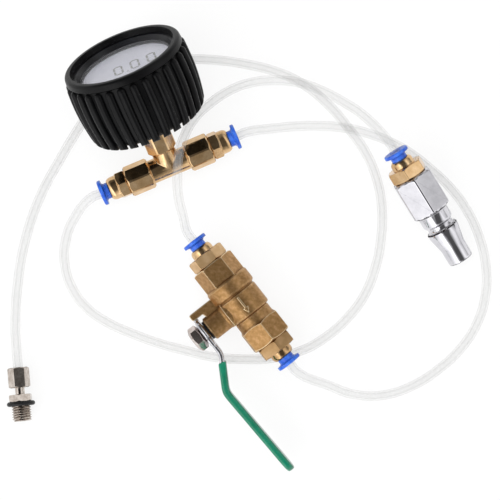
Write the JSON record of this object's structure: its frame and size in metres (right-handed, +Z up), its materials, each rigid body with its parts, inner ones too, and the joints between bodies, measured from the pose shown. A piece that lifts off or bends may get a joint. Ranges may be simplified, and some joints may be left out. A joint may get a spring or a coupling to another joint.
{
  "type": "air suspension leak tester",
  "caption": "Hose-coupled air leak tester: chrome air plug, brass ball valve with a lever, tee with a digital gauge in a ribbed rubber boot, clear push-in hoses and a threaded strut fitting.",
  "frame": {"origin": "on the table, under the middle of the box round the gauge, tee and valve, without the free hoses and what hangs on them", "axes": "+Z up off the table; +Y from the valve's lever towards the gauge; +X towards the air plug"},
  "size_m": [0.1981, 0.1804, 0.0554],
  "materials": {
    "boot_rubber": "moulded matt",
    "case_plastic": "moulded",
    "clear_lens": "polished",
    "seal_rubber": "moulded",
    "display_panel": "satin",
    "board": "solder mask",
    "cell_steel": "plain",
    "turned_brass": "turned",
    "cast_brass": "cast and tumbled",
    "collet_blue": "moulded",
    "spring_steel": "plain",
    "ptfe": "turned",
    "plated_steel": "zinc plated",
    "green_vinyl": "dipped",
    "chrome_plating": "bright plated",
    "nickel_plating": "satin plated",
    "clear_hose": "extruded"
  },
  "bodies": {
    "tester": {"gauge_boot": "boot_rubber", "gauge_case": "case_plastic", "gauge_bezel": "case_plastic", "gauge_lens": "clear_lens", "lens_gasket": "seal_rubber", "display": "display_panel", "circuit_board": "board", "coin_cell": "cell_steel", "pressure_sensor": "cell_steel", "gauge_stem": "turned_brass", "stem_nut": "turned_brass", "tee_body": "turned_brass", "valve_body": "cast_brass", "valve_end_cap": "cast_brass", "inlet_seat": "ptfe", "outlet_seat": "ptfe", "thrust_washer": "ptfe", "stem_packing": "seal_rubber", "air_plug": "chrome_plating", "strut_body": "nickel_plating", "strut_nut": "nickel_plating", "strut_clamp_ring": "turned_brass", "strut_o_ring": "seal_rubber", "supply_tube": "clear_hose", "test_tube": "clear_hose", "link_tube": "clear_hose", "tee_left_fitting": "turned_brass", "tee_left_grip_ring": "spring_steel", "tee_left_seal": "seal_rubber", "tee_right_fitting": "turned_brass", "tee_right_grip_ring": "spring_steel", "tee_right_seal": "seal_rubber", "inlet_fitting": "turned_brass", "inlet_grip_ring": "spring_steel", "inlet_seal": "seal_rubber", "outlet_fitting": "turned_brass", "outlet_grip_ring": "spring_steel", "outlet_seal": "seal_rubber", "plug_fitting": "turned_brass", "plug_grip_ring": "spring_steel", "plug_seal": "seal_rubber"},
    "valve_lever": {"lever": "plated_steel", "lever_sleeve": "green_vinyl", "lever_nut": "plated_steel", "valve_stem": "turned_brass", "valve_ball": "chrome_plating"},
    "tee_left_release": {"tee_left_collet": "collet_blue"},
    "tee_right_release": {"tee_right_collet": "collet_blue"},
    "inlet_release": {"inlet_collet": "collet_blue"},
    "outlet_release": {"outlet_collet": "collet_blue"},
    "plug_release": {"plug_collet": "collet_blue"}
  },
  "joints": [
    {"name": "lever_turn", "type": "hinge", "parent": "tester", "child": "valve_lever", "pos_m": [0.0234, -0.02155, 0.0097], "axis": [-0.7869, -0.617, 0], "range_deg": [0, 90]},
    {"name": "tee_left_press", "type": "slide", "parent": "tester", "child": "tee_left_release", "axis": [0.9212, 0.3891, 0], "range_m": [0, 0.0012], "stiffness_N_per_m": 100},
    {"name": "tee_right_press", "type": "slide", "parent": "tester", "child": "tee_right_release", "axis": [-0.9212, -0.3891, 0], "range_m": [0, 0.0012], "stiffness_N_per_m": 100},
    {"name": "inlet_press", "type": "slide", "parent": "tester", "child": "inlet_release", "axis": [0.617, -0.7869, 0], "range_m": [0, 0.0012], "stiffness_N_per_m": 100},
    {"name": "outlet_press", "type": "slide", "parent": "tester", "child": "outlet_release", "axis": [-0.617, 0.7869, 0], "range_m": [0, 0.0012], "stiffness_N_per_m": 100},
    {"name": "plug_press", "type": "slide", "parent": "tester", "child": "plug_release", "axis": [0.5303, -0.8323, -0.1614], "range_m": [0, 0.0012], "stiffness_N_per_m": 100}
  ]
}
